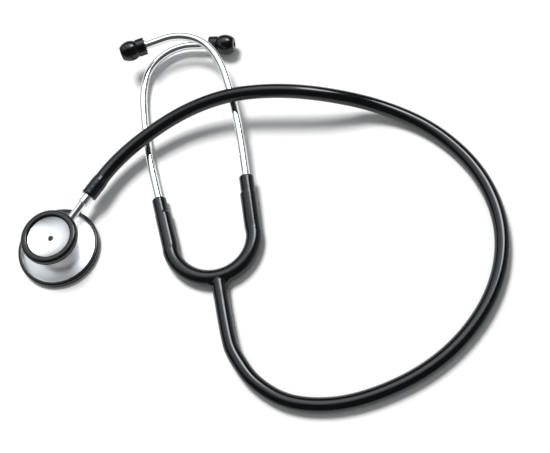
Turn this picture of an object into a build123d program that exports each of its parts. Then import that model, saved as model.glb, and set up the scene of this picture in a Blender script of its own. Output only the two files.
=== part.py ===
from build123d import *
from math import cos, sin, tan, radians, sqrt, pi
import os

# A dual head stethoscope that lies on a table, diaphragm down. Millimetres, Z up, table at z = 0.
# The origin is under the middle of the chestpiece, and +Y runs from the yoke to the ear tips.

# Chestpiece, turned about Z
rim_diameter = 50.0
rim_wall = 1.4
rim_height = 4.3
rim_floor = 0.8
rim_floor_reach = 2.0
rim_edge = 0.3
rim_lip_reach = 0.8
diaphragm_gap = 0.4
diaphragm_thickness = 0.35
flange_thickness = 1.5
seat_width = 2.6
cavity_depth = 1.6
dish_rise = 2.4
hub_diameter = 17.2
sound_hole = 3.0
bell_rim_diameter = 34.0
bell_rim_wall = 1.4
bell_lip_reach = 2.8
bell_rim_height = 4.5
head_height = 20.8
bell_depth = 4.4
bell_edge_thickness = 1.5
bell_edge_inset = 1.9

# Stem that the head turns on
stem_height = 11.6
stem_angle = 46.4
spindle_diameter = 4.9
spindle_clearance = 0.05
spindle_tip = -6.0
boss_diameter = 9.2
boss_reach = 12.6
shoulder_start = 28.7
shoulder_diameter = 6.4
cuff_start = 34.4
barb_end = 45.6
barb_core_diameter = 5.6
barb_diameter = 6.8
barb_count = 3
stem_bore = 2.8
port_diameter = 2.4

# Click stop between the head and the stem
detent_offset = 4.6
ball_diameter = 2.0
ball_clearance = 0.05
groove_depth = 0.45
spring_diameter = 1.7
spring_wire = 0.3
spring_length = 1.6
screw_length = 1.5

# Tubing
tube_diameter = 8.6
tube_bore = 4.8
cuff_diameter = 9.5
cuff_taper_start = 45.5
tube_end = 49.0
cuff_run = 18.5

# Yoke moulding
yoke_x = 92.7
yoke_y = -16.6
yoke_radius = 25.2
yoke_height = 4.8
yoke_diameter = 9.6
yoke_stem_diameter = 9.0
yoke_stem_end = -57.0
yoke_web = 3.0
yoke_lumen = 4.8
bend_start = 62.0
bend_overrun = 2.5
left_lean = 4.7
right_lean = 2.7
left_slope = -0.5
right_slope = 5.4
arm_length = 35.0
arm_diameter = 9.0
pocket_bulge = 0.6
collar_length = 10.5
collar_diameter = 8.7
collar_round = 1.2
blade_offset = 3.45
blade_thickness = 0.6
blade_width = 5.0
blade_clearance = 0.05
blade_leg = 20.0

# Binaural tubes, each a bent steel tube turned a little in its arm so that the hook rises
binaural_diameter = 5.0
binaural_wall = 0.5
binaural_clearance = 0.05
binaural_insert = 15.0
bead_diameter = 5.6
bead_length = 1.6
bead_setback = 3.0
shank_length = 17.0
bow_radius = 340.0
bow_angle = 8.9
shoulder_radius = 66.0
shoulder_angle = 15.6
hook_radius = 27.8
left_hook_angle = 86.0
right_hook_angle = 77.2
hook_run = 12.0
left_twist = 3.5
right_twist = 2.4

# Ear tips and the threaded nipples that they screw onto
tip_length = 16.4
tip_diameter = 12.8
tip_collar_diameter = 11.2
tip_collar_length = 5.3
tip_waist_diameter = 10.4
tip_face_diameter = 7.6
tip_dome = 6.2
tip_hole = 3.0
nipple_diameter = 6.2
nipple_length = 8.6
nipple_flange_diameter = 7.2
nipple_flange = 0.7
nipple_seat = 7.6

stem_u = Vector(cos(radians(stem_angle)), sin(radians(stem_angle)), 0)
stem_side = Vector(sin(radians(stem_angle)), -cos(radians(stem_angle)), 0)
stem_origin = Vector(0, 0, stem_height)
stem_axis = Axis(stem_origin, stem_u)
stem_section = Plane(origin=stem_origin, x_dir=stem_u, z_dir=stem_side)
head_section = Plane.XZ

os.makedirs("parts", exist_ok=True)


def keep(name, builder):
    """Label one finished piece and write it under that name."""
    builder.part.label = name
    export_step(builder.part, f"parts/{name}.step")


# Chestpiece casting: dish, waisted hub, bell cup and the boss for the stem
flange_bottom = rim_floor + diaphragm_thickness
flange_top = flange_bottom + flange_thickness
flange_radius = rim_diameter / 2 - rim_wall
lip_radius = flange_radius - rim_lip_reach
floor_radius = flange_radius - rim_floor_reach
cavity_radius = flange_radius - seat_width
dish_top = flange_top + dish_rise
dish_edge = lip_radius - 0.4
cup_top = head_height - (bell_rim_height - bell_edge_thickness) / 2 - 0.3
cup_bottom = cup_top - bell_edge_thickness
hub_radius = hub_diameter / 2
dish_crown = hub_radius + 2.8
bell_edge_radius = bell_rim_diameter / 2 - bell_rim_wall
bell_mouth_radius = bell_edge_radius - bell_lip_reach
bell_wall_radius = bell_mouth_radius + 0.4
bell_floor_height = head_height - bell_depth
bell_middle = bell_floor_height + 0.29 * (cup_top - bell_floor_height)
spindle_radius = spindle_diameter / 2
bore_radius = spindle_radius + spindle_clearance
groove_radius = ball_diameter / 2 + ball_clearance
ball_centre = spindle_radius - groove_depth + ball_diameter / 2
pocket_mouth = sqrt(hub_radius**2 - detent_offset**2) + 1.0
detent_plane = Plane(
    origin=stem_origin + stem_u * detent_offset, x_dir=stem_u, z_dir=stem_side
)

with BuildPart() as chestpiece_body:
    with BuildSketch(head_section):
        with BuildLine():
            l1 = Polyline(
                (0, cavity_depth + flange_bottom),
                (cavity_radius - 1.5, flange_bottom + 0.4),
                (cavity_radius, flange_bottom),
                (flange_radius, flange_bottom),
                (flange_radius, flange_top),
                (dish_edge, flange_top),
            )
            l2 = ThreePointArc(
                l1 @ 1,
                ((dish_edge + dish_crown) / 2 - 0.5, dish_top - 0.31 * dish_rise),
                (dish_crown, dish_top),
            )
            l3 = ThreePointArc(l2 @ 1, (hub_radius + 0.7, dish_top + 1.1), (hub_radius, dish_top + 3.4))
            l4 = Line(l3 @ 1, (hub_radius, stem_height + 0.8))
            l5 = ThreePointArc(
                l4 @ 1, (hub_radius + 1.1, cup_bottom - 3.0), (bell_edge_radius - 3.4, cup_bottom - 1.4)
            )
            l6 = Polyline(
                l5 @ 1,
                (bell_edge_radius - bell_edge_inset, cup_bottom),
                (bell_edge_radius, cup_bottom),
                (bell_edge_radius, cup_top),
                (bell_wall_radius, cup_top),
            )
            l7 = ThreePointArc(l6 @ 1, (0.58 * bell_wall_radius, bell_middle), (0, bell_floor_height))
            Line(l7 @ 1, l1 @ 0)
        make_face()
    revolve(axis=Axis.Z)
    with BuildSketch(stem_section):
        with BuildLine():
            Polyline(
                (0, 0),
                (0, boss_diameter / 2),
                (boss_reach - 0.7, boss_diameter / 2),
                (boss_reach, boss_diameter / 2 - 0.7),
                (boss_reach, 0),
                close=True,
            )
        make_face()
    revolve(axis=stem_axis)
    with BuildSketch(stem_section):
        with Locations(((spindle_tip - spindle_clearance + boss_reach + 1) / 2, bore_radius / 2)):
            Rectangle(boss_reach + 1 - spindle_tip + spindle_clearance, bore_radius)
    revolve(axis=stem_axis, mode=Mode.SUBTRACT)
    with BuildSketch(Plane.XY):
        Circle(sound_hole / 2)
    extrude(amount=head_height, mode=Mode.SUBTRACT)
    with BuildSketch(detent_plane):
        Circle(groove_radius)
    extrude(amount=pocket_mouth, mode=Mode.SUBTRACT)
keep("chestpiece_body", chestpiece_body)

# Soft rim that holds the diaphragm against the flange
with BuildPart() as diaphragm_rim:
    with BuildSketch(head_section):
        with BuildLine():
            Polyline(
                (floor_radius, rim_edge),
                (floor_radius + rim_edge, 0),
                (rim_diameter / 2, 0),
                (rim_diameter / 2, rim_height),
                (lip_radius, rim_height),
                (lip_radius, flange_top),
                (flange_radius, flange_top),
                (flange_radius, rim_floor),
                (floor_radius, rim_floor),
                close=True,
            )
        make_face()
    revolve(axis=Axis.Z)
    outer = diaphragm_rim.edges().filter_by(GeomType.CIRCLE).group_by(SortBy.RADIUS)[-1]
    fillet(outer, 1.0)
    lip = diaphragm_rim.edges().filter_by(GeomType.CIRCLE).group_by(Axis.Z)[-1]
    fillet(lip, 0.6)
keep("diaphragm_rim", diaphragm_rim)

with BuildPart() as diaphragm:
    with BuildSketch(Plane.XY.offset(rim_floor)):
        Circle(flange_radius - diaphragm_gap)
    extrude(amount=diaphragm_thickness)
keep("diaphragm", diaphragm)

# Soft ring over the bell's edge
rim_base = head_height - bell_rim_height
with BuildPart() as bell_rim:
    with BuildSketch(head_section):
        with BuildLine():
            Polyline(
                (bell_edge_radius - bell_edge_inset + 0.6, rim_base),
                (bell_rim_diameter / 2, rim_base),
                (bell_rim_diameter / 2, head_height),
                (bell_mouth_radius, head_height),
                (bell_mouth_radius, cup_top),
                (bell_edge_radius, cup_top),
                (bell_edge_radius, cup_bottom),
                (bell_edge_radius - bell_edge_inset + 0.6, cup_bottom),
                close=True,
            )
        make_face()
    revolve(axis=Axis.Z)
    outside = bell_rim.edges().filter_by(GeomType.CIRCLE).group_by(SortBy.RADIUS)[-1]
    fillet(outside.sort_by(Axis.Z)[-1], 1.9)
    fillet(outside.sort_by(Axis.Z)[0], 0.8)
    mouth = bell_rim.edges().filter_by(GeomType.CIRCLE).group_by(Axis.Z)[-1]
    fillet(mouth.sort_by(SortBy.RADIUS)[0], 1.2)
keep("bell_rim", bell_rim)

# Hollow spindle: closed tip, groove for the ball, shoulder and hose barbs
shoulder_radius_s = shoulder_diameter / 2
barb_pitch = (barb_end - cuff_start) / barb_count
barb_points = [(cuff_start, barb_core_diameter / 2)]
for n in range(barb_count):
    crest = cuff_start + n * barb_pitch + barb_pitch * 0.25
    barb_points.append((crest, barb_core_diameter / 2))
    barb_points.append((crest, barb_diameter / 2))
    barb_points.append((cuff_start + (n + 1) * barb_pitch, barb_core_diameter / 2))

with BuildPart() as stem_spindle:
    with BuildSketch(stem_section):
        with BuildLine():
            Polyline(
                (spindle_tip, 0),
                (spindle_tip, spindle_radius - 0.4),
                (spindle_tip + 0.4, spindle_radius),
                (shoulder_start, spindle_radius),
                (shoulder_start + 0.3, shoulder_radius_s),
                (cuff_start, shoulder_radius_s),
                *barb_points,
                (barb_end, 0),
                close=True,
            )
        make_face()
    revolve(axis=stem_axis)
    with BuildSketch(stem_section):
        with Locations(((barb_end + 1 - port_diameter) / 2, stem_bore / 4)):
            Rectangle(barb_end + 1 + port_diameter, stem_bore / 2)
    revolve(axis=stem_axis, mode=Mode.SUBTRACT)
    with BuildSketch(Plane(origin=stem_origin, z_dir=(0, 0, -1))):
        Circle(port_diameter / 2)
    extrude(amount=spindle_diameter, mode=Mode.SUBTRACT)
    with BuildSketch(stem_section):
        with Locations((detent_offset, ball_centre)):
            Circle(groove_radius)
    revolve(axis=stem_axis, mode=Mode.SUBTRACT)
keep("stem_spindle", stem_spindle)

# Ball, spring and screw in their pocket
with BuildPart() as detent_ball:
    with Locations(detent_plane.offset(ball_centre)):
        Sphere(ball_diameter / 2)
keep("detent_ball", detent_ball)

spring_seat = ball_centre + ball_diameter / 2 + spring_wire / 2
spring_plane = detent_plane.offset(spring_seat)
coil_radius = (spring_diameter - spring_wire) / 2
coil_height = spring_length - spring_wire
with BuildPart() as detent_spring:
    with BuildLine():
        coil = Helix(
            pitch=coil_height / 3,
            height=coil_height,
            radius=coil_radius,
            center=spring_plane.origin,
            direction=spring_plane.z_dir,
        )
    with BuildSketch(Plane(origin=coil @ 0, z_dir=coil % 0)):
        Circle(spring_wire / 2)
    sweep()
keep("detent_spring", detent_spring)

screw_start = spring_seat + coil_height + spring_wire / 2 + 0.02
with BuildPart() as detent_screw:
    with BuildSketch(detent_plane.offset(screw_start)):
        Circle(groove_radius - 0.02)
    extrude(amount=screw_length)
    with BuildSketch(detent_plane.offset(screw_start + screw_length)):
        Rectangle(2 * groove_radius, 0.4)
    extrude(amount=-0.5, mode=Mode.SUBTRACT)
keep("detent_screw", detent_screw)

# End of the tubing, stretched over the barbs
with BuildPart() as tube_chest_end:
    with BuildSketch(stem_section):
        with BuildLine():
            Polyline(
                (cuff_start, 0),
                (cuff_start, cuff_diameter / 2 - 0.3),
                (cuff_start + 0.3, cuff_diameter / 2),
                (cuff_taper_start, cuff_diameter / 2),
                (tube_end, tube_diameter / 2),
                (tube_end, 0),
                close=True,
            )
        make_face()
    revolve(axis=stem_axis)
    with BuildSketch(stem_section):
        with BuildLine():
            Polyline((cuff_start, 0), *barb_points, (barb_end, 0), close=True)
        make_face()
    revolve(axis=stem_axis, mode=Mode.SUBTRACT)
    with BuildSketch(stem_section):
        with Locations(((barb_end + tube_end) / 2, tube_bore / 4)):
            Rectangle(tube_end - barb_end, tube_bore / 2)
    revolve(axis=stem_axis, mode=Mode.SUBTRACT)
keep("tube_chest_end", tube_chest_end)

# Tubing between the yoke and the chestpiece: it lies on the table, then rises over both arms
cuff_point = stem_origin + stem_u * tube_end
cuff_lead = stem_origin + stem_u * (tube_end + cuff_run)
tube_route = [
    (yoke_x, yoke_stem_end, yoke_height),
    (yoke_x, -75.0, yoke_height),
    (96.0, -95.0, 4.3),
    (107.0, -112.0, 4.3),
    (126.0, -125.0, 4.3),
    (159.0, -129.0, 4.3),
    (202.5, -118.5, 4.3),
    (238.0, -91.5, 4.3),
    (257.5, -54.5, 4.6),
    (254.5, -13.5, 8.3),
    (231.5, 20.5, 14.7),
    (195.5, 44.0, 21.2),
    (156.5, 58.5, 24.9),
    (126.5, 64.5, 25.0),
    (102.5, 65.5, 21.1),
    (70.0, 60.5, 14.9),
    tuple(cuff_lead),
    tuple(cuff_point),
]


def bend_radii(points):
    """The largest arc at each inner point: 0.45 of the shorter run over the tangent of half the turn."""
    radii = []
    for before, here, after in zip(points, points[1:], points[2:]):
        run_in = Vector(here) - Vector(before)
        run_out = Vector(after) - Vector(here)
        turn = radians(run_in.get_angle(run_out))
        radii.append(0.45 * min(run_in.length, run_out.length) / tan(turn / 2))
    return radii


tube_radii = bend_radii(tube_route)
with BuildPart() as main_tube:
    with BuildLine() as tube_path:
        FilletPolyline(*tube_route, radius=tube_radii)
    tube_line = tube_path.wires()[0]
    with BuildSketch(Plane(origin=tube_line @ 0, z_dir=tube_line % 0)):
        Circle(tube_diameter / 2)
        Circle(tube_bore / 2, mode=Mode.SUBTRACT)
    sweep(path=tube_line)
keep("main_tube", main_tube)
tube_section = pi * (tube_diameter**2 - tube_bore**2) / 4
volume_length = main_tube.part.volume / tube_section
print("tube bend radii", [round(r, 1) for r in tube_radii])
print("tube length", round(tube_line.length, 1), "from its volume", round(volume_length, 1))


# Yoke moulding, made whole and then cut where it flexes
yoke_centre = Vector(yoke_x, yoke_y, yoke_height)


def arm_frame(side, lean, slope):
    """Where an arm starts on the yoke's curve: X inward, Y along the arm. side is -1 left, +1 right."""
    lean, slope = radians(lean), radians(slope)
    outward = Vector(side * cos(lean), -sin(lean), 0)
    along = Vector(side * sin(lean) * cos(slope), cos(lean) * cos(slope), sin(slope))
    start = yoke_centre + outward * yoke_radius
    inward = outward * -1
    return Plane(origin=start, x_dir=inward, z_dir=inward.cross(along))


def across(frame, distance):
    """The plane square to an arm, that far along it, with its X still inward."""
    along = frame.y_dir
    return Plane(origin=frame.origin + along * distance, x_dir=frame.x_dir, z_dir=along)


left_frame = arm_frame(-1, left_lean, left_slope)
right_frame = arm_frame(1, right_lean, right_slope)
step_at = arm_length - collar_length

with BuildPart() as yoke_moulding:
    for side, frame, lean in ((-1, left_frame, left_lean), (1, right_frame, right_lean)):
        with BuildLine() as curve:
            bottom = yoke_centre - Vector(0, yoke_radius, 0)
            JernArc(bottom, (side, 0, 0), yoke_radius, side * (90 - lean))
        with BuildSketch(Plane(origin=bottom, z_dir=(side, 0, 0))):
            Circle(yoke_diameter / 2)
        sweep(path=curve.wires()[0])
        with Locations(frame.origin):
            Sphere(yoke_diameter / 2)
        with BuildSketch(across(frame, 0), across(frame, step_at)):
            Circle(arm_diameter / 2)
            with Locations((pocket_bulge, 0)):
                Circle(arm_diameter / 2)
            make_hull()
        loft()
        with BuildSketch(across(frame, 0)):
            Circle(collar_diameter / 2)
        extrude(amount=arm_length)
    with BuildSketch(Plane(origin=bottom, z_dir=(0, -1, 0))):
        Circle(yoke_stem_diameter / 2)
    extrude(amount=-yoke_stem_end + yoke_y - yoke_radius)

    web = [e for e in yoke_moulding.edges() if e.geom_type == GeomType.BSPLINE and e.center().Y < bottom.Y]
    fillet(web, yoke_web)


def blade(extra):
    """The leaf spring's strip round the inside of the yoke and up both arms, larger by extra on every side."""
    thickness = blade_thickness + 2 * extra
    width = blade_width + 2 * extra
    with BuildPart() as strip:
        for side, frame, lean in ((-1, left_frame, left_lean), (1, right_frame, right_lean)):
            radius = yoke_radius - blade_offset
            with BuildLine() as curve:
                middle = yoke_centre - Vector(0, radius, 0)
                JernArc(middle, (side, 0, 0), radius, side * (90 - lean))
            with BuildSketch(Plane(origin=middle, x_dir=(0, 1, 0), z_dir=(side, 0, 0))):
                Rectangle(thickness, width)
            sweep(path=curve.wires()[0])
            with BuildSketch(across(frame, 0)):
                with Locations((blade_offset, 0)):
                    Rectangle(thickness, width)
            extrude(amount=blade_leg + extra)
    return strip


yoke_leaf_spring = blade(0)
keep("yoke_leaf_spring", yoke_leaf_spring)
slot = blade(blade_clearance)


def hook_frame(frame, twist):
    """The plane a binaural is bent in: its origin is the arm's end, X rises from inward by the twist."""
    up = frame.x_dir.cross(frame.y_dir)
    up = up if up.Z > 0 else up * -1
    x_dir = frame.x_dir * cos(radians(twist)) + up * sin(radians(twist))
    return Plane(
        origin=frame.origin + frame.y_dir * arm_length,
        x_dir=x_dir,
        z_dir=x_dir.cross(frame.y_dir),
    )


def bead_outline(extra):
    """Half of the swaged bead's section, drawn beside the tube's own axis, larger by extra."""
    inner = binaural_diameter / 2 - binaural_wall / 2
    wall = binaural_diameter / 2 + extra
    crest = bead_diameter / 2 + extra
    half = bead_length / 2 + extra
    place = bead_setback - binaural_insert
    return [
        (inner, place - half),
        (wall, place - half),
        (crest, place - half / 2),
        (crest, place + half / 2),
        (wall, place + half),
        (inner, place + half),
    ]


bore_at = arm_length - binaural_insert - binaural_clearance
with BuildPart() as yoke_hollows:
    for side, frame, lean in ((-1, left_frame, left_lean), (1, right_frame, right_lean)):
        with BuildLine() as curve:
            JernArc(bottom, (side, 0, 0), yoke_radius, side * (90 - lean))
        with BuildSketch(Plane(origin=bottom, z_dir=(side, 0, 0))):
            Circle(yoke_lumen / 2)
        sweep(path=curve.wires()[0])
        with Locations(frame.origin):
            Sphere(yoke_lumen / 2)
        with BuildSketch(across(frame, 0)):
            Circle(yoke_lumen / 2)
        extrude(amount=arm_length)
        with BuildSketch(across(frame, bore_at)):
            Circle(binaural_diameter / 2 + binaural_clearance)
        extrude(amount=binaural_insert + 1)
        hook = hook_frame(frame, 0)
        with BuildSketch(hook):
            with BuildLine():
                Polyline(*bead_outline(binaural_clearance), close=True)
            make_face()
        revolve(axis=Axis(hook.origin, hook.y_dir))
    with BuildSketch(Plane(origin=bottom, z_dir=(0, -1, 0))):
        Circle(yoke_lumen / 2)
    extrude(amount=-yoke_stem_end + yoke_y - yoke_radius)


def bend_cut(side):
    """The plane where the yoke starts to flex, square to its curve and facing the arm."""
    t = radians(bend_start)
    return Plane(origin=yoke_centre, z_dir=(side * cos(t), sin(t), 0))


middle_cut = Plane(origin=yoke_centre, z_dir=(1, 0, 0))

with BuildPart() as yoke_junction:
    add(yoke_moulding.part)
    split(bisect_by=bend_cut(-1), keep=Keep.BOTTOM)
    split(bisect_by=bend_cut(1), keep=Keep.BOTTOM)
    add(yoke_hollows.part, mode=Mode.SUBTRACT)
    add(slot.part, mode=Mode.SUBTRACT)
keep("yoke_junction", yoke_junction)

for side, frame, half in ((-1, left_frame, "left"), (1, right_frame, "right")):
    own_side = Keep.BOTTOM if side < 0 else Keep.TOP
    arm_cut = across(frame, bend_overrun)
    with BuildPart() as yoke_bend:
        add(yoke_moulding.part)
        split(bisect_by=middle_cut, keep=own_side)
        split(bisect_by=bend_cut(side), keep=Keep.TOP)
        split(bisect_by=arm_cut, keep=Keep.BOTTOM)
        add(yoke_hollows.part, mode=Mode.SUBTRACT)
        add(slot.part, mode=Mode.SUBTRACT)
    keep(f"{half}_yoke_bend", yoke_bend)
    with BuildPart() as yoke_arm:
        add(yoke_moulding.part)
        split(bisect_by=middle_cut, keep=own_side)
        split(bisect_by=arm_cut, keep=Keep.TOP)
        top_edge = yoke_arm.faces().sort_by(Axis(frame.origin, frame.y_dir))[-1].edges()
        fillet(top_edge, collar_round)
        add(yoke_hollows.part, mode=Mode.SUBTRACT)
        add(slot.part, mode=Mode.SUBTRACT)
    keep(f"{half}_yoke_arm", yoke_arm)

# Binaurals with their nipples and ear tips
sides = (
    ("left", left_frame, left_twist, left_hook_angle),
    ("right", right_frame, right_twist, right_hook_angle),
)
for half, frame, twist, hook_angle in sides:
    hook = hook_frame(frame, twist)
    with BuildPart() as binaural_tube:
        with BuildLine(hook) as bent:
            shank = Line((0, -binaural_insert), (0, shank_length))
            bow = JernArc(shank @ 1, shank % 1, bow_radius, -bow_angle)
            rise = JernArc(bow @ 1, bow % 1, shoulder_radius, -shoulder_angle)
            turn_in = JernArc(rise @ 1, rise % 1, hook_radius, -hook_angle)
            run = Line(turn_in @ 1, turn_in @ 1 + (turn_in % 1) * (hook_run + nipple_seat))
        bent_line = bent.wires()[0]
        with BuildSketch(Plane(origin=shank @ 0, z_dir=shank % 0)):
            Circle(binaural_diameter / 2)
        sweep(path=bent_line)
        with BuildSketch(hook):
            with BuildLine():
                Polyline(*bead_outline(0), close=True)
            make_face()
        revolve(axis=Axis(hook.origin, hook.y_dir))
        with BuildSketch(Plane(origin=shank @ 0, z_dir=shank % 0)):
            Circle(binaural_diameter / 2 - binaural_wall)
        sweep(path=bent_line, mode=Mode.SUBTRACT)
    keep(f"{half}_binaural_tube", binaural_tube)

    tip_dir = run % 1
    tip_section = Plane(origin=(run @ 1) - tip_dir * nipple_seat, x_dir=tip_dir, z_dir=hook.z_dir)
    tip_axis = Axis(tip_section.origin, tip_dir)
    with BuildPart() as tip_nipple:
        with BuildSketch(tip_section):
            with BuildLine():
                Polyline(
                    (-nipple_flange, binaural_diameter / 2),
                    (-nipple_flange, nipple_flange_diameter / 2 - 0.2),
                    (-nipple_flange + 0.2, nipple_flange_diameter / 2),
                    (0, nipple_flange_diameter / 2),
                    (0, nipple_diameter / 2),
                    (nipple_length, nipple_diameter / 2),
                    (nipple_length, tip_hole / 2),
                    (nipple_seat, tip_hole / 2),
                    (nipple_seat, binaural_diameter / 2),
                    close=True,
                )
            make_face()
        revolve(axis=tip_axis)
    keep(f"{half}_tip_nipple", tip_nipple)

    with BuildPart() as ear_tip:
        with BuildSketch(tip_section):
            with BuildLine():
                collar = Polyline(
                    (0, nipple_diameter / 2),
                    (0, tip_collar_diameter / 2 - 0.4),
                    (0.4, tip_collar_diameter / 2),
                    (tip_collar_length, tip_collar_diameter / 2),
                    (tip_collar_length + 0.5, tip_waist_diameter / 2),
                )
                swell = ThreePointArc(
                    collar @ 1,
                    (tip_collar_length + 2.6, tip_diameter / 2 - 0.35),
                    (tip_length - tip_dome, tip_diameter / 2),
                )
                dome = ThreePointArc(
                    swell @ 1,
                    (tip_length - 2.2, tip_diameter / 2 - 1.3),
                    (tip_length - 0.4, tip_face_diameter / 2 + 0.5),
                )
                Polyline(
                    dome @ 1,
                    (tip_length, tip_face_diameter / 2 - 0.6),
                    (tip_length, tip_hole / 2),
                    (nipple_length, tip_hole / 2),
                    (nipple_length, nipple_diameter / 2),
                    collar @ 0,
                )
            make_face()
        revolve(axis=tip_axis)
    keep(f"{half}_ear_tip", ear_tip)
    box = ear_tip.part.bounding_box()
    print(half, "ear tip", [round(v, 2) for v in (*box.min, *box.max)])
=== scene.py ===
"""A dual head stethoscope lying on a white table, its two metal tubes crossed at the ear tips."""
from math import atan2, ceil, cos, pi, radians, sin, sqrt, tan

import bmesh
import bpy
from mathutils import Matrix, Vector


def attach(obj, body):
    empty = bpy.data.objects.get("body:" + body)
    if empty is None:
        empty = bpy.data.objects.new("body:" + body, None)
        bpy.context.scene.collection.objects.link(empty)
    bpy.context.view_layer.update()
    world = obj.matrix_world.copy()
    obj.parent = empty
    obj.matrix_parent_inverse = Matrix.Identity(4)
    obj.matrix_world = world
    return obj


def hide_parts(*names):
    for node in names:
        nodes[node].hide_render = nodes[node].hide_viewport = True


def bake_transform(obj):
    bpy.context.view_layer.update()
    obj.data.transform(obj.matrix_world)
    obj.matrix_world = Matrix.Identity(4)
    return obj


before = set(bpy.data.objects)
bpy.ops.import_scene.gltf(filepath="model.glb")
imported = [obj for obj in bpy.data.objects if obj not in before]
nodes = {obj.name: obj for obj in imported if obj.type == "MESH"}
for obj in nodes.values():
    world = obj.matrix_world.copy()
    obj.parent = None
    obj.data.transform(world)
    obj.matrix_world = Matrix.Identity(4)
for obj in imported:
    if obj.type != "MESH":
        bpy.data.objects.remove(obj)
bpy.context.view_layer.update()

# Lengths below are millimetres, and every mesh is written in metres
MM = 0.001


def metres(point):
    return Vector(point) * MM


# Camera of the photograph
camera_data = bpy.data.cameras.new("camera")
camera_data.lens = 56.56
camera_data.sensor_width = 36
camera_data.sensor_fit = "HORIZONTAL"
camera = bpy.data.objects.new("camera", camera_data)
bpy.context.collection.objects.link(camera)
to_right = Vector((0.97616, -0.17601, -0.12703))
to_bottom = Vector((-0.21285, -0.89087, -0.40129))
into_view = Vector((-0.04254, 0.41876, -0.90710))
camera.matrix_world = Matrix.Translation(metres((152.033, -229.824, 463.359))) @ Matrix(
    (to_right, -to_bottom, -into_view)
).transposed().to_4x4()
bpy.context.scene.camera = camera
bpy.context.scene.view_settings.view_transform = "Standard"


# Material tools
def colour(code):
    """An sRGB hex colour as linear red, green, blue and alpha."""
    parts = [int(code[i : i + 2], 16) / 255 for i in (1, 3, 5)]
    return [p / 12.92 if p <= 0.04045 else ((p + 0.055) / 1.055) ** 2.4 for p in parts] + [1.0]


def add(tree, kind, inputs=None, **settings):
    """Add one node. Its inputs take a value or another node's output."""
    node = tree.nodes.new(kind)
    for name, value in settings.items():
        setattr(node, name, value)
    for name, value in (inputs or {}).items():
        if isinstance(value, bpy.types.NodeSocket):
            tree.links.new(value, node.inputs[name])
        else:
            node.inputs[name].default_value = value
    return node


def new_material(name):
    material = bpy.data.materials.new(name)
    material.use_nodes = True
    material.node_tree.nodes.clear()
    return material, material.node_tree


def per_metre(size_mm):
    """Noise scale for features of about that size."""
    return 1 / (size_mm * MM)


def vinyl(name, deep, lit, smooth, dull, ripple):
    """Plasticised PVC: deep black, with the soft ripple and greasy gloss of an extrusion or a moulding."""
    material, tree = new_material(name)
    place = add(tree, "ShaderNodeTexCoord").outputs["Object"]
    smudge = add(
        tree,
        "ShaderNodeTexNoise",
        {"Vector": place, "Scale": per_metre(14), "Detail": 4.0, "Roughness": 0.6},
    ).outputs["Fac"]
    skin = add(
        tree,
        "ShaderNodeTexNoise",
        {"Vector": place, "Scale": per_metre(2.2), "Detail": 3.0, "Roughness": 0.5},
    ).outputs["Fac"]
    shade = add(
        tree,
        "ShaderNodeMix",
        {"Factor": smudge, "A": colour(deep), "B": colour(lit)},
        data_type="RGBA",
    )
    gloss = add(
        tree,
        "ShaderNodeMapRange",
        {"Value": smudge, "From Min": 0.3, "From Max": 0.7, "To Min": smooth, "To Max": dull},
    ).outputs["Result"]
    relief = add(
        tree, "ShaderNodeBump", {"Height": skin, "Strength": 0.25, "Distance": ripple * MM}
    ).outputs["Normal"]
    shader = add(
        tree,
        "ShaderNodeBsdfPrincipled",
        {
            "Base Color": shade.outputs["Result"],
            "Roughness": gloss,
            "IOR": 1.52,
            "Specular IOR Level": 0.42,
            "Normal": relief,
        },
    )
    add(tree, "ShaderNodeOutputMaterial", {"Surface": shader.outputs["BSDF"]})
    return material


def plated(name, tint, smooth, dull, ring_pitch=None, ring_depth=0.0):
    """Chrome over a turned or buffed part: a clear mirror, faintly hazed where it was handled or turned."""
    material, tree = new_material(name)
    place = add(tree, "ShaderNodeTexCoord").outputs["Object"]
    haze = add(
        tree,
        "ShaderNodeTexNoise",
        {"Vector": place, "Scale": per_metre(9), "Detail": 5.0, "Roughness": 0.65},
    ).outputs["Fac"]
    gloss = add(
        tree,
        "ShaderNodeMapRange",
        {"Value": haze, "From Min": 0.3, "From Max": 0.75, "To Min": smooth, "To Max": dull},
    ).outputs["Result"]
    height = haze
    depth = 0.002
    if ring_pitch:
        flat = add(tree, "ShaderNodeVectorMath", {0: place, 1: (1.0, 1.0, 0.0)}, operation="MULTIPLY")
        radius = add(tree, "ShaderNodeVectorMath", {0: flat.outputs[0]}, operation="LENGTH").outputs["Value"]
        turns = add(
            tree, "ShaderNodeMath", {0: radius, 1: 2 * pi * per_metre(ring_pitch)}, operation="MULTIPLY"
        ).outputs[0]
        wave = add(tree, "ShaderNodeMath", {0: turns}, operation="SINE").outputs[0]
        height = add(tree, "ShaderNodeMath", {0: wave, 1: haze}, operation="ADD").outputs[0]
        depth = ring_depth
    relief = add(
        tree, "ShaderNodeBump", {"Height": height, "Strength": 0.5, "Distance": depth * MM}
    ).outputs["Normal"]
    shader = add(
        tree,
        "ShaderNodeBsdfPrincipled",
        {"Base Color": colour(tint), "Metallic": 1.0, "Roughness": gloss, "Normal": relief},
    )
    add(tree, "ShaderNodeOutputMaterial", {"Surface": shader.outputs["BSDF"]})
    return material


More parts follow.
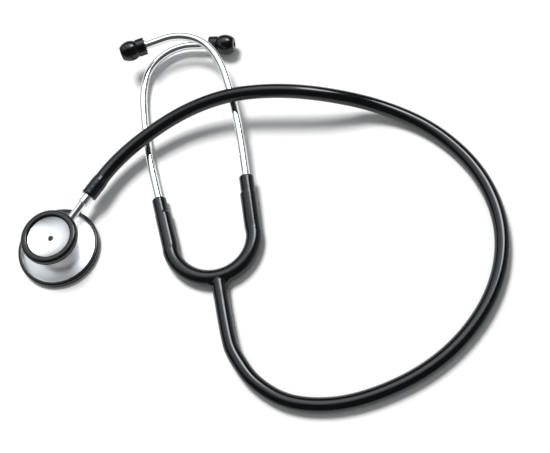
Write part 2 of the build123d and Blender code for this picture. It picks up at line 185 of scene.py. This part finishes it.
def woven_sheet(name):
    """Epoxy and glass cloth, pressed thin: a pale satin sheet with the cloth's fine grid in it."""
    material, tree = new_material(name)
    place = add(tree, "ShaderNodeTexCoord").outputs["Object"]
    split = add(tree, "ShaderNodeSeparateXYZ", {"Vector": place})
    # Real threads lie 0.4 mm apart, drawn at 0.6 mm so that the grid shows
    threads = []
    for side in ("X", "Y"):
        turns = add(
            tree, "ShaderNodeMath", {0: split.outputs[side], 1: 2 * pi * per_metre(0.6)}, operation="MULTIPLY"
        ).outputs[0]
        threads.append(add(tree, "ShaderNodeMath", {0: turns}, operation="SINE").outputs[0])
    cloth = add(tree, "ShaderNodeMath", {0: threads[0], 1: threads[1]}, operation="MULTIPLY").outputs[0]
    shade = add(
        tree,
        "ShaderNodeMix",
        {"Factor": cloth, "A": colour("#d8d6c8"), "B": colour("#e6e4d8")},
        data_type="RGBA",
        clamp_factor=True,
    )
    relief = add(
        tree, "ShaderNodeBump", {"Height": cloth, "Strength": 0.3, "Distance": 0.02 * MM}
    ).outputs["Normal"]
    shader = add(
        tree,
        "ShaderNodeBsdfPrincipled",
        {"Base Color": shade.outputs["Result"], "Roughness": 0.34, "IOR": 1.55, "Normal": relief},
    )
    add(tree, "ShaderNodeOutputMaterial", {"Surface": shader.outputs["BSDF"]})
    return material


# Drawn through a die: the smoothest of the vinyls, so its highlight is one long thin line
extruded_vinyl = vinyl("extruded black PVC", "#050709", "#080b0e", 0.1, 0.17, 0.006)
# Dipped or moulded round a core: a softer line that wavers a little
moulded_vinyl = vinyl("moulded black PVC", "#06080b", "#0b0f12", 0.14, 0.22, 0.008)
# Soft ring compound: nearly neutral black with a broad shine
rim_vinyl = vinyl("soft moulded rim PVC", "#060708", "#0a0c0d", 0.12, 0.2, 0.006)
# Small polished mould: a round bright spot on the bulb
tip_plastic = vinyl("moulded ear tip PVC", "#050607", "#090b0c", 0.14, 0.2, 0.005)
# Die cast, turned and plated satin: milky white with soft dark smudges and fine turning
cast_chrome = plated("satin chrome on zinc casting", "#f4f5f6", 0.36, 0.43, 0.3, 0.0004)
# Drawn tube under bright chrome: sharp light and dark stripes along it
tube_chrome = plated("bright chrome on steel tube", "#eceded", 0.03, 0.07)
# Turned and nickel plated: a warmer white than the chrome
nickel = plated("bright nickel on turned brass", "#dedad0", 0.06, 0.14)
spring_strip = plated("blued spring steel strip", "#8d9096", 0.2, 0.35)
hard_steel = plated("ground hard steel", "#b9bbc0", 0.08, 0.16)
glass_cloth = woven_sheet("pressed epoxy glass cloth")


# Mesh tools
def finish_mesh(name, mesh_data, material, crease=35):
    """Turn a bmesh into a smooth shaded object at the origin."""
    bmesh.ops.remove_doubles(mesh_data, verts=mesh_data.verts, dist=1e-7)
    bmesh.ops.recalc_face_normals(mesh_data, faces=mesh_data.faces)
    mesh = bpy.data.meshes.new(name)
    mesh_data.to_mesh(mesh)
    mesh_data.free()
    mesh.shade_smooth()
    mesh.set_sharp_from_angle(angle=radians(crease))
    mesh.materials.append(material)
    piece = bpy.data.objects.new(name, mesh)
    bpy.context.collection.objects.link(piece)
    return piece


def bridge(mesh_data, rings, close_rows=False, caps=True):
    """Faces between rings of millimetre points, each ring closed round."""
    made = [[mesh_data.verts.new(metres(p)) for p in ring] for ring in rings]
    pairs = list(zip(made, made[1:]))
    if close_rows:
        pairs.append((made[-1], made[0]))
    for low, high in pairs:
        for i in range(len(low)):
            k = (i + 1) % len(low)
            mesh_data.faces.new((low[i], low[k], high[k], high[i]))
    if caps and not close_rows:
        for ring in (made[0], made[-1]):
            mesh_data.faces.new(ring)


def rounded(corners, step=9):
    """A closed outline with its corners rounded: each corner is (along, out) or (along, out, radius)."""
    outline = []
    count = len(corners)
    for i, corner in enumerate(corners):
        here = Vector(corner[:2])
        radius = corner[2] if len(corner) > 2 else 0
        if not radius:
            outline.append(here)
            continue
        before = (Vector(corners[i - 1][:2]) - here).normalized()
        after = (Vector(corners[(i + 1) % count][:2]) - here).normalized()
        half = before.angle(after) / 2
        reach = radius / tan(half)
        middle = here + (before + after).normalized() * radius / sin(half)
        first = here + before * reach - middle
        last = here + after * reach - middle
        turn = first.angle_signed(last)
        steps = max(2, ceil(abs(turn) / radians(step)))
        for k in range(steps + 1):
            outline.append(middle + Matrix.Rotation(-turn * k / steps, 2) @ first)
    return outline


def arc_through(a, b, c, steps=16):
    """Points after a, on the arc from a through b to c."""
    (ax, ay), (bx, by), (cx, cy) = a, b, c
    d = 2 * (ax * (by - cy) + bx * (cy - ay) + cx * (ay - by))
    ux = ((ax**2 + ay**2) * (by - cy) + (bx**2 + by**2) * (cy - ay) + (cx**2 + cy**2) * (ay - by)) / d
    uy = ((ax**2 + ay**2) * (cx - bx) + (bx**2 + by**2) * (ax - cx) + (cx**2 + cy**2) * (bx - ax)) / d
    radius = sqrt((ax - ux) ** 2 + (ay - uy) ** 2)
    t0, t1, t2 = (atan2(y - uy, x - ux) for x, y in (a, b, c))
    turn = (t2 - t0) % (2 * pi)
    if (t1 - t0) % (2 * pi) > turn:
        turn -= 2 * pi
    return [
        (ux + radius * cos(t0 + turn * k / steps), uy + radius * sin(t0 + turn * k / steps))
        for k in range(1, steps + 1)
    ]


def lathe(mesh_data, outline, start, axis, sides=128):
    """Revolve a closed outline of (along, out) points about an axis."""
    axis = Vector(axis).normalized()
    side = axis.orthogonal().normalized()
    up = axis.cross(side)
    rings = []
    for k in range(sides):
        t = 2 * pi * k / sides
        out = side * cos(t) + up * sin(t)
        rings.append([Vector(start) + axis * p[0] + out * p[1] for p in outline])
    bridge(mesh_data, rings, close_rows=True)
    flat = [f for f in mesh_data.faces if f.calc_area() < 1e-14]
    bmesh.ops.delete(mesh_data, geom=flat, context="FACES")


def turned(name, outline, start, axis, material, sides=128, crease=35):
    mesh_data = bmesh.new()
    lathe(mesh_data, outline, start, axis, sides)
    return finish_mesh(name, mesh_data, material, crease)


# Free tubing: a hose whose control points are its route
tube_diameter = 8.6
tube_radius = tube_diameter / 2
tube_route = [
    (92.7, -57.0, 4.8),
    (92.7, -80.5, 4.8),
    (95.0, -90.5, 4.3),
    (103.0, -108.0, 4.3),
    (122.0, -124.0, 4.3),
    (156.5, -129.5, 4.3),
    (202.5, -118.5, 4.3),
    (238.5, -91.0, 4.3),
    (257.0, -55.0, 4.6),
    (256.0, -15.0, 4.3),
    (237.5, 21.0, 4.3),
    (208.0, 45.0, 7.5),
    (173.5, 54.0, 21.8),
    (143.5, 62.5, 24.3),
    (114.0, 68.0, 20.9),
    (81.5, 64.5, 15.4),
    (44.8, 47.1, 11.6),
    (33.8, 35.5, 11.6),
]
tubing_curve = bpy.data.curves.new("tubing", "CURVE")
tubing_curve.dimensions = "3D"
tubing_line = tubing_curve.splines.new("NURBS")
tubing_line.points.add(len(tube_route) - 1)
for control, place in zip(tubing_line.points, tube_route):
    control.co = (*metres(place), 1.0)
tubing_line.order_u = 3
tubing_line.use_endpoint_u = True
tubing_curve.resolution_u = 24
tubing_curve.bevel_depth = tube_radius * MM
tubing_curve.bevel_resolution = 12
tubing_curve.use_fill_caps = True
tubing_curve.materials.append(extruded_vinyl)
tubing = bpy.data.objects.new("tubing", tubing_curve)
bpy.context.collection.objects.link(tubing)
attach(tubing, "tubing")
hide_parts("main_tube")

# Chestpiece: the sizes that the casting and its two rims share
rim_radius = 25.0
rim_height = 4.3
rim_floor = 0.8
rim_wall = 1.4
seat_width = 2.6
floor_reach = 2.0
lip_reach = 0.8
flange_radius = rim_radius - rim_wall
diaphragm_thickness = 0.35
flange_thickness = 1.5
dish_rise = 2.4
head_floor = rim_floor + diaphragm_thickness
flange_top = head_floor + flange_thickness
dish_top = flange_top + dish_rise
dish_crown = 11.4
hub_radius = 8.6
head_height = 20.8
bell_radius = 17.0
bell_depth = 4.4
bell_lip_reach = 2.8
bell_edge_radius = bell_radius - rim_wall
bell_rim_height = 4.5
bell_lip = 1.5
bell_edge_thickness = 1.5
cup_top = head_height - bell_lip - 0.3
cup_bottom = cup_top - bell_edge_thickness
mouth_radius = bell_edge_radius - 2.4
cup_radius = mouth_radius + 0.5
bell_floor = head_height - bell_depth
sound_hole = 1.5
stem_height = 11.6
stem_angle = radians(46.4)
stem_axis = Vector((cos(stem_angle), sin(stem_angle), 0))
stem_start = Vector((0, 0, stem_height))


def casting_outline():
    """Half section of the casting: dish, flange, waisted hub, bell cup and sound hole."""
    seat = flange_radius - seat_width
    edge = (flange_top, flange_radius - 1.2)
    outline = [(head_floor + 1.6, sound_hole), (head_floor + 0.4, seat - 1.5), (head_floor, seat)]
    flange = [(head_floor, flange_radius, 0.2), (flange_top, flange_radius, 0.3), edge]
    outline += rounded(flange)[:-2] + [edge]
    outline += arc_through(edge, (dish_top - 0.75, dish_crown + 5), (dish_top, dish_crown), 24)
    waist = (dish_top + 3.4, hub_radius)
    outline += arc_through((dish_top, dish_crown), (dish_top + 1.1, hub_radius + 0.7), waist, 16)
    shoulder = (stem_height + 0.8, hub_radius)
    outline += [shoulder]
    outline += arc_through(shoulder, (14.5, hub_radius + 1.1), (16.1, 12.2), 16)
    outline += [(cup_bottom, cup_radius), (cup_bottom, bell_edge_radius)]
    outline += [(cup_top, bell_edge_radius), (cup_top, mouth_radius)]
    bowl = ((cup_top, mouth_radius), (bell_floor + 0.75, 7.6), (bell_floor + 0.06, sound_hole + 0.4))
    outline += arc_through(*bowl, 28)
    rim = ((0, 0.2), (-0.12, 0.06), (-0.3, 0))
    return outline + [(bell_floor + rise, sound_hole + out) for rise, out in rim]


boss_reach = 12.6
boss_radius = 4.6
boss_bore = 2.5
boss_outline = [
    (2.0, boss_bore),
    (2.0, boss_radius - 0.2),
    (10.8, boss_radius),
    (12.0, boss_radius),
    (12.4, boss_radius - 0.15),
    (boss_reach, boss_radius - 0.5),
    (boss_reach, boss_bore + 0.1),
    (12.4, boss_bore),
]
head_mesh = bmesh.new()
lathe(head_mesh, casting_outline(), (0, 0, 0), (0, 0, 1), 192)
lathe(head_mesh, boss_outline, stem_start, stem_axis, 96)
casting = finish_mesh("chestpiece", head_mesh, cast_chrome)
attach(casting, "head")
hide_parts("chestpiece_body")


def ring(name, corners, node):
    """A soft ring round the head, turned from the corners of its half section."""
    piece = turned(name, rounded(corners), (0, 0, 0), (0, 0, 1), rim_vinyl, 192)
    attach(piece, "head")
    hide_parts(node)


ring(
    "diaphragm_retaining_rim",
    [
        (0.3, flange_radius - floor_reach),
        (0, flange_radius - floor_reach + 0.3),
        (0, rim_radius, 1.0),
        (rim_height, rim_radius, 1.3),
        (rim_height, flange_radius - lip_reach, 0.5),
        (flange_top, flange_radius - lip_reach),
        (flange_top, flange_radius),
        (rim_floor, flange_radius),
        (rim_floor, flange_radius - floor_reach),
    ],
    "diaphragm_rim",
)
ring(
    "bell_ring",
    [
        (head_height - bell_rim_height, bell_edge_radius - 1.3),
        (head_height - bell_rim_height, bell_radius, 0.8),
        (head_height, bell_radius, 1.9),
        (head_height, bell_edge_radius - bell_lip_reach, 1.2),
        (cup_top, bell_edge_radius - bell_lip_reach),
        (cup_top, bell_edge_radius),
        (cup_bottom, bell_edge_radius),
        (cup_bottom, bell_edge_radius - 1.3),
    ],
    "bell_rim",
)

# Stem, in two lengths either side of its port, and the tubing's swollen end
stem_inner_end = -6.0
stem_outer_end = 45.6
stem_radius = 2.45
port = 1.7
shoulder_at = 28.7
shoulder_radius = 3.2
barbs_start = 36.0
inner_stem = [
    (stem_inner_end, 0),
    (stem_inner_end, stem_radius, 0.4),
    (-port, stem_radius),
    (-port, 0),
]
outer_stem = [
    (port, 0),
    (port, stem_radius),
    (shoulder_at - 0.5, stem_radius),
    (shoulder_at - 0.2, stem_radius + 0.15),
    (shoulder_at, shoulder_radius, 0.3),
    (barbs_start, shoulder_radius),
    (stem_outer_end, 2.6),
    (stem_outer_end, 0),
]
spindle_mesh = bmesh.new()
for corners in (inner_stem, outer_stem):
    lathe(spindle_mesh, rounded(corners), stem_start, stem_axis, 96)
spindle = finish_mesh("stem", spindle_mesh, tube_chrome)
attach(spindle, "tubing")
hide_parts("stem_spindle")


def smooth(t):
    """Eases from 0 to 1."""
    t = min(1, max(0, t))
    return t * t * (3 - 2 * t)


cuff_start = 34.4
cuff_end = 49.0
cuff_radius = 4.72
tube_bore = 2.4
barb_pitch = 3.7


def cuff_half_section():
    """A rounded lip, three faint swellings over the barbs inside, then a fall to the tubing."""
    outline = [(0, 3.25), (0, 4.3), (0.15, 4.55), (0.45, 4.7)]
    outline = [(cuff_start + along, out) for along, out in outline]
    for n in range(27):
        along = cuff_start + 1.0 + n * 0.52
        swell = 0
        for barb in range(3):
            away = abs(along - cuff_start - 0.9 - barb_pitch * barb) / 1.6
            swell += 0.07 * cos(min(1, away) * pi / 2)
        drop = cuff_radius - tube_radius + swell
        outline.append((along, cuff_radius + swell - drop * smooth((along - 45.0) / 4.0)))
    outline += [(cuff_end, tube_radius), (cuff_end, tube_bore)]
    return outline + [(stem_outer_end, tube_bore), (barbs_start, 3.25)]


cuff = turned("tubing_cuff", cuff_half_section(), stem_start, stem_axis, moulded_vinyl, 96)
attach(cuff, "tubing")
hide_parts("tube_chest_end")

# Yoke: the fork, its two limbs and the strip spring inside them
yoke_centre = Vector((92.7, -16.6, 4.8))
yoke_radius = 25.2
yoke_section = 4.8
fork_stem_radius = 4.5
fork_stem_end = -57.0
fork_stem_taper = 7.0
fork_web = 4.0
bend_start = 62.0
limb_bore = 2.4
arm_length = 35.0
arm_slimming = 0.3
arm_bulge = 0.6
collar_at = 24.5
collar_radius = 4.35
collar_lip = 1.2
tube_insert = 15.0


def arm_frame(side, lean, slope):
    """Where an arm starts on the yoke's curve: its origin, inward and along directions."""
    lean, slope = radians(lean), radians(slope)
    outward = Vector((side * cos(lean), -sin(lean), 0))
    along = Vector((side * sin(lean) * cos(slope), cos(lean) * cos(slope), sin(slope)))
    return yoke_centre + outward * yoke_radius, -outward, along


arms = {
    "left": dict(side=-1, lean=4.7, slope=-0.5, twist=3.5, hook=86.0),
    "right": dict(side=1, lean=2.7, slope=5.4, twist=2.4, hook=77.2),
}


def on_curve(side, angle, radius=yoke_radius):
    """A point of the yoke's U, its inward and along directions. The angle runs from the bottom."""
    t = radians(angle)
    out = Vector((side * sin(t), -cos(t), 0))
    return yoke_centre + out * radius, -out, Vector((side * cos(t), sin(t), 0))


def limb_ring(centre, inward, along, radius, bulge=0, sides=72):
    """A round section that is drawn out inward by the bulge."""
    up = inward.cross(along).normalized()
    points = []
    for k in range(sides):
        t = 2 * pi * k / sides
        reach = radius * cos(t)
        if cos(t) > 0:
            reach += bulge * min(1, cos(t) / 0.35)
        points.append(centre + inward * reach + up * radius * sin(t))
    return points


def fork_u():
    """Rings of the U between the two limbs."""
    angles = [bend_start * (k / 24 - 1) for k in range(49)]
    return [limb_ring(*on_curve(1, angle), yoke_section) for angle in angles]


def fork_stem(bottom):
    """Rings of the stem from the tubing up to the U, widening at first."""
    rings = []
    for k in range(40):
        y = fork_stem_end + k * (bottom.y - fork_stem_end) / 39
        widening = smooth((y - fork_stem_end) / fork_stem_taper)
        radius = tube_radius + (fork_stem_radius - tube_radius) * widening
        rings.append(limb_ring(Vector((bottom.x, y, bottom.z)), Vector((1, 0, 0)), Vector((0, 1, 0)), radius))
    return rings


def fork_fillet():
    """Rings of the web between stem and U: the path of a ball that rolls round the stem in the corner."""
    rows = []
    for k in range(96):
        t = 2 * pi * k / 96
        reach = fork_stem_radius + fork_web
        ball_x, ball_z = reach * cos(t), reach * sin(t)
        flat = yoke_radius + sqrt(max(0, (yoke_section + fork_web) ** 2 - ball_z**2))
        ball = Vector((ball_x, -sqrt(flat**2 - ball_x**2), ball_z))
        core = Vector((ball.x, ball.y, 0)).normalized() * yoke_radius
        on_stem = Vector((fork_stem_radius * cos(t), ball.y, fork_stem_radius * sin(t)))
        on_yoke = core + (ball - core).normalized() * yoke_section
        first = (on_stem - ball).normalized()
        last = (on_yoke - ball).normalized()
        rows.append([yoke_centre + ball + first.slerp(last, n / 12) * fork_web for n in range(13)])
    return [[row[n] for row in rows] for n in range(13)]


def cone_cap(mesh_data, ring, heart):
    """Closes a ring with triangles to a point."""
    tip = mesh_data.verts.new(metres(heart))
    made = [mesh_data.verts.new(metres(p)) for p in ring]
    for k in range(len(made)):
        mesh_data.faces.new((made[k], made[(k + 1) % len(made)], tip))


down = Vector((0, -1, 0))
fork_bottom = yoke_centre + down * yoke_radius
fork_mesh = bmesh.new()
bridge(fork_mesh, fork_u())
bridge(fork_mesh, fork_stem(fork_bottom))
web = fork_fillet()
bridge(fork_mesh, web, caps=False)
cone_cap(fork_mesh, web[0], fork_bottom + down * 9)
cone_cap(fork_mesh, web[-1], fork_bottom)
fork = finish_mesh("yoke_fork", fork_mesh, moulded_vinyl)
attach(fork, "tubing")
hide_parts("yoke_junction")


def limb_path(side, top, start, inward, along):
    """Stations of a limb: place, inward and along directions, and the distance from the arm's start."""
    arc_length = radians(top - bend_start) * yoke_radius
    path = []
    for k in range(17):
        angle = bend_start + (top - bend_start) * k / 16
        path.append((*on_curve(side, angle), (k / 16 - 1) * arc_length))
    for k in range(1, 78):
        s = arm_length * k / 78
        if s < arm_length - collar_lip:
            path.append((start + along * s, inward, along, s))
    return path


def limb_rings(side, top, start, inward, along):
    """Outside of a limb with its bulge over the spring and its collar, then the bores inside it."""
    path = limb_path(side, top, start, inward, along)
    rings = []
    for centre, inner, ahead, s in path:
        radius = yoke_section - arm_slimming * smooth((s + 1.5) / 4)
        bulge = arm_bulge * smooth((s + 2) / 5)
        collar = smooth((s - collar_at + 0.9) / 1.2)
        radius += (collar_radius - radius) * collar
        rings.append(limb_ring(centre, inner, ahead, radius, bulge * (1 - collar)))
    for n in range(9):
        t = radians(90 * n / 8)
        rise = arm_length - collar_lip * (1 - sin(t))
        radius = collar_radius - collar_lip * (1 - cos(t))
        rings.append(limb_ring(start + along * rise, inward, along, radius))
    # A flared mouth, the sleeve's bore, room for the tube's bead, and the limb's own bore
    depths = ((0, 2.85), (0.1, 2.65), (0.4, 2.58), (2.0, 2.58), (2.3, 2.95), (15.4, 2.95), (15.4, limb_bore))
    for depth, radius in depths:
        rings.append(limb_ring(start + along * (arm_length - depth), inward, along, radius))
    for centre, inner, ahead, s in reversed(path):
        if s < 19.0:
            rings.append(limb_ring(centre, inner, ahead, limb_bore))
    return rings


def bend_with_arm(piece, half):
    """Bake the piece's placement into its mesh. The arm's frame is looked up but not used, so nothing bends.
    """
    start, inward, along = arm_frame(arms[half]["side"], arms[half]["lean"], arms[half]["slope"])
    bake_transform(piece)


for half, arm in arms.items():
    start, inward, along = arm_frame(arm["side"], arm["lean"], arm["slope"])
    limb_mesh = bmesh.new()
    bridge(limb_mesh, limb_rings(arm["side"], 90 - arm["lean"], start, inward, along), close_rows=True)
    limb = finish_mesh(f"{half}_yoke_limb", limb_mesh, moulded_vinyl)
    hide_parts(f"{half}_yoke_bend", f"{half}_yoke_arm")
    bend_with_arm(limb, half)


# Geometry Nodes: a section swept along a path, for the metal tubes and the strip spring
def swept_section_tree(name, flat):
    """Sweep a round section, or a flat one, along the path that the modifier is on."""
    tree = bpy.data.node_groups.new(name, "GeometryNodeTree")
    face = tree.interface
    face.new_socket("Path", in_out="INPUT", socket_type="NodeSocketGeometry")
    sizes = ("Thickness", "Width") if flat else ("Radius",)
    for size in sizes:
        face.new_socket(size, in_out="INPUT", socket_type="NodeSocketFloat")
    if not flat:
        face.new_socket("Sides", in_out="INPUT", socket_type="NodeSocketInt")
    face.new_socket("Finish", in_out="INPUT", socket_type="NodeSocketMaterial")
    face.new_socket("Piece", in_out="OUTPUT", socket_type="NodeSocketGeometry")
    given = add(tree, "NodeGroupInput").outputs
    if flat:
        section = add(
            tree,
            "GeometryNodeCurvePrimitiveQuadrilateral",
            {"Width": given["Thickness"], "Height": given["Width"]},
        )
    else:
        section = add(
            tree,
            "GeometryNodeCurvePrimitiveCircle",
            {"Radius": given["Radius"], "Resolution": given["Sides"]},
        )
    swept = add(
        tree,
        "GeometryNodeCurveToMesh",
        {"Curve": given["Path"], "Profile Curve": section.outputs["Curve"], "Fill Caps": True},
    )
    whole = add(tree, "GeometryNodeRealizeInstances", {"Geometry": swept.outputs["Mesh"]})
    dressed = add(
        tree, "GeometryNodeSetMaterial", {"Geometry": whole.outputs["Geometry"], "Material": given["Finish"]}
    )
    add(tree, "NodeGroupOutput", {"Piece": dressed.outputs["Geometry"]})
    return tree


round_tube = swept_section_tree("round tube along a path", flat=False)
flat_strip = swept_section_tree("flat strip along a path", flat=True)


def sweep(name, points, tree, values, girths=None, tilt=0.0):
    """Run a sweeping tree on a path of millimetre points and keep its mesh."""
    curve = bpy.data.curves.new(name, "CURVE")
    curve.dimensions = "3D"
    curve.twist_mode = "Z_UP"
    line = curve.splines.new("POLY")
    line.points.add(len(points) - 1)
    for k, point in enumerate(points):
        line.points[k].co = (*metres(point), 1.0)
        line.points[k].radius = girths[k] if girths else 1.0
        line.points[k].tilt = tilt
    maker = bpy.data.objects.new(name, curve)
    bpy.context.collection.objects.link(maker)
    modifier = maker.modifiers.new("sweep", "NODES")
    modifier.node_group = tree
    sockets = {item.name: item.identifier for item in tree.interface.items_tree if item.in_out == "INPUT"}
    for key, value in values.items():
        modifier[sockets[key]] = value
    bpy.context.view_layer.update()
    ready = maker.evaluated_get(bpy.context.evaluated_depsgraph_get())
    mesh = bpy.data.meshes.new_from_object(ready)
    bpy.data.objects.remove(maker)
    mesh.name = name
    mesh.shade_smooth()
    mesh.set_sharp_from_angle(angle=radians(40))
    piece = bpy.data.objects.new(name, mesh)
    bpy.context.collection.objects.link(piece)
    return piece


spring_offset = 3.45
spring_thickness = 0.6
spring_width = 5.0
spring_rise = 20
for half, arm in arms.items():
    start, inward, along = arm_frame(arm["side"], arm["lean"], arm["slope"])
    top = 90 - arm["lean"]
    strip = [on_curve(arm["side"], top * k / 40, yoke_radius - spring_offset)[0] for k in range(40)]
    strip += [start + inward * spring_offset + along * k for k in range(spring_rise + 1)]
    spring = sweep(
        f"{half}_spring_strip",
        strip,
        flat_strip,
        {"Thickness": spring_thickness * MM, "Width": spring_width * MM, "Finish": spring_strip},
    )
    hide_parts("yoke_leaf_spring")
    bend_with_arm(spring, half)

# Metal tubes, nipples and ear tips
metal_radius = 2.5
metal_straight = 17.0
bead_at = 3.0
bead_girth = 1.12
hook_run = 12.0
nipple_seat = 7.6
nipple_length = 8.6
nipple_radius = 3.1
nipple_flange = 3.6
tip_bore = 1.5
tip_collar_radius = 5.6
tip_collar = 5.3
tip_waist_radius = 5.2
tip_radius = 6.4
tip_length = 16.4
tip_dome = 6.2


def metal_path(base, along, inward, hook):
    """Points and girths of a metal tube: bead, straight, bow, shoulder and hook, then its run to the tip."""
    points = [base - along * tube_insert]
    girths = [1.0]
    for away, girth in ((-0.8, 1.0), (-0.4, bead_girth), (0.4, bead_girth), (0.8, 1.0)):
        points.append(base + along * (bead_at + away - tube_insert))
        girths.append(girth)
    points.append(base + along * metal_straight)
    heading, inner = along, inward
    turn_axis = inward.cross(along).normalized()
    for radius, angle in ((340.0, 8.9), (66.0, 15.6), (27.8, hook)):
        steps = ceil(angle / 1.5)
        centre = points[-1] + inner * radius
        for k in range(1, steps + 1):
            turn = Matrix.Rotation(radians(-angle * k / steps), 3, turn_axis)
            points.append(centre - turn @ (inner * radius))
        heading, inner = turn @ heading, turn @ inner
    tip_start = points[-1] + heading * hook_run
    points += [points[-1] + heading * hook_run * 0.5, tip_start, tip_start + heading * nipple_seat]
    girths += [1.0] * (len(points) - len(girths))
    return points, girths, tip_start, heading


nipple_section = [
    (-0.7, metal_radius),
    (-0.7, nipple_flange, 0.2),
    (0, nipple_flange, 0.1),
    (0, nipple_radius),
    (nipple_length, nipple_radius),
    (nipple_length, tip_bore),
    (nipple_seat, tip_bore),
    (nipple_seat, metal_radius),
]


def tip_section():
    """Half section of an ear tip: collar, waist, full round bulb and its hole."""
    collar = [
        (0, nipple_radius),
        (0, tip_collar_radius, 0.45),
        (tip_collar, tip_collar_radius, 0.3),
        (tip_collar + 0.5, tip_waist_radius),
    ]
    widest = (tip_length - tip_dome, tip_radius)
    shoulder = (tip_length - 2.2, tip_radius - 0.93)
    end = ((0.4, 4.3), (0.15, 3.9), (0.02, 3.3), (0, 2.4), (0.1, 1.75), (0.4, tip_bore))
    end = [(tip_length - short, out) for short, out in end]
    outline = [collar[0]] + rounded(collar)[1:]
    outline += arc_through(collar[-1], (tip_collar + 2.6, tip_radius - 0.31), widest, 18)
    outline += arc_through(widest, shoulder, end[0], 18)[:-1] + end
    return outline + [(nipple_length, tip_bore), (nipple_length, nipple_radius)]


def fit(piece, half, node):
    """The piece rides on a metal tube and stands for one of its solids."""
    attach(piece, f"{half}_binaural")
    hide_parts(f"{half}_{node}")


for half, arm in arms.items():
    start, inward, along = arm_frame(arm["side"], arm["lean"], arm["slope"])
    up = inward.cross(along)
    if up.z < 0:
        up = -up
    twist = radians(arm["twist"])
    inward = inward * cos(twist) + up * sin(twist)
    base = start + along * arm_length
    points, girths, tip_start, heading = metal_path(base, along, inward, arm["hook"])
    values = {"Radius": metal_radius * MM, "Sides": 64, "Finish": tube_chrome}
    tube = sweep(f"{half}_metal_tube", points, round_tube, values, girths)
    fit(tube, half, "binaural_tube")
    nipple = turned(f"{half}_nipple", rounded(nipple_section), tip_start, heading, nickel, 96)
    fit(nipple, half, "tip_nipple")
    tip = turned(f"{half}_ear_bulb", tip_section(), tip_start, heading, tip_plastic, 128)
    fit(tip, half, "ear_tip")

# Pieces whose solids are right as they are
for node, finish in (
    ("diaphragm", glass_cloth),
    ("detent_ball", hard_steel),
    ("detent_spring", spring_strip),
    ("detent_screw", hard_steel),
):
    nodes[node].data.materials.clear()
    nodes[node].data.materials.append(finish)


# Table and light
def white_table():
    """Matt white paper: a lit sheet clips to white, and the instrument's shadow stays on it."""
    material, tree = new_material("matt white table")
    paper = add(tree, "ShaderNodeBsdfDiffuse", {"Color": colour("#f2f2f2")})
    add(tree, "ShaderNodeOutputMaterial", {"Surface": paper.outputs["BSDF"]})
    return material


table_mesh = bpy.data.meshes.new("table")
reach = 2.5
table_mesh.from_pydata(
    [(-reach, -reach, 0), (reach, -reach, 0), (reach, reach, 0), (-reach, reach, 0)], [], [(0, 1, 2, 3)]
)
table_mesh.materials.append(white_table())
table = bpy.data.objects.new("table", table_mesh)
bpy.context.collection.objects.link(table)


def studio():
    """The room that the chrome mirrors: a softbox at the back, a strip lamp beside it, dark elsewhere."""
    room = bpy.data.worlds.new("studio")
    room.use_nodes = True
    tree = room.node_tree
    tree.nodes.clear()
    look = add(tree, "ShaderNodeTexCoord").outputs["Generated"]

    def edge(direction, outside, inside, level=1.0):
        """Rises from nothing to the level between two distances along a direction."""
        aim = Vector(direction).normalized()
        near = add(tree, "ShaderNodeVectorMath", {0: look, 1: aim}, operation="DOT_PRODUCT").outputs["Value"]
        return add(
            tree,
            "ShaderNodeMapRange",
            {"Value": near, "From Min": outside, "From Max": inside, "To Min": 0.0, "To Max": level},
            interpolation_type="SMOOTHSTEP",
        ).outputs["Result"]

    def combine(kind, parts):
        total = parts[0]
        for part in parts[1:]:
            total = add(tree, "ShaderNodeMath", {0: total, 1: part}, operation=kind).outputs[0]
        return total

    right, back, up = (1, 0, 0), (0, 1, 0), (0, 0, 1)
    left, front, down = (-1, 0, 0), (0, -1, 0), (0, 0, -1)
    softbox = combine(
        "MULTIPLY",
        [
            edge(left, -0.42, -0.32, 1.15),
            edge(right, -0.88, -0.7),
            edge(back, -0.2, 0.12),
            edge(front, -0.88, -0.7),
            edge(up, 0.28, 0.42),
        ],
    )
    middle = edge((0.03, 0.5, 0.86), cos(radians(26)), cos(radians(6)), 1.5)
    strip = edge((0.36, 0.4, 0.84), cos(radians(14)), cos(radians(10)), 13.0)
    right_wall = combine("MULTIPLY", [edge(right, 0.7, 0.92, 0.4), edge(down, -0.7, -0.3)])
    level = combine("ADD", [softbox, middle, strip, right_wall, 0.09])
    mirrored = add(tree, "ShaderNodeBackground", {"Color": colour("#f4f8fb"), "Strength": level})
    ambient = add(tree, "ShaderNodeBackground", {"Color": colour("#f6f8fa"), "Strength": 0.34})
    path = add(tree, "ShaderNodeLightPath").outputs
    mix = add(
        tree,
        "ShaderNodeMixShader",
        {0: path["Is Glossy Ray"], 1: ambient.outputs["Background"], 2: mirrored.outputs["Background"]},
    )
    add(tree, "ShaderNodeOutputWorld", {"Surface": mix.outputs["Shader"]})
    bpy.context.scene.world = room


studio()


def lamp(name, direction, distance, size, power):
    """A square lamp in metres and watts that lights the table but isn't mirrored."""
    data = bpy.data.lights.new(name, "AREA")
    data.energy = power
    data.size = size
    light = bpy.data.objects.new(name, data)
    aim = Vector(direction).normalized()
    light.location = Vector((0.1, 0, 0)) + aim * distance
    light.rotation_euler = aim.to_track_quat("Z", "Y").to_euler()
    light.visible_glossy = False
    bpy.context.collection.objects.link(light)
    return light


lamp("key", (-0.2, 0.5, 1.0), 3.0, 1.0, 98)
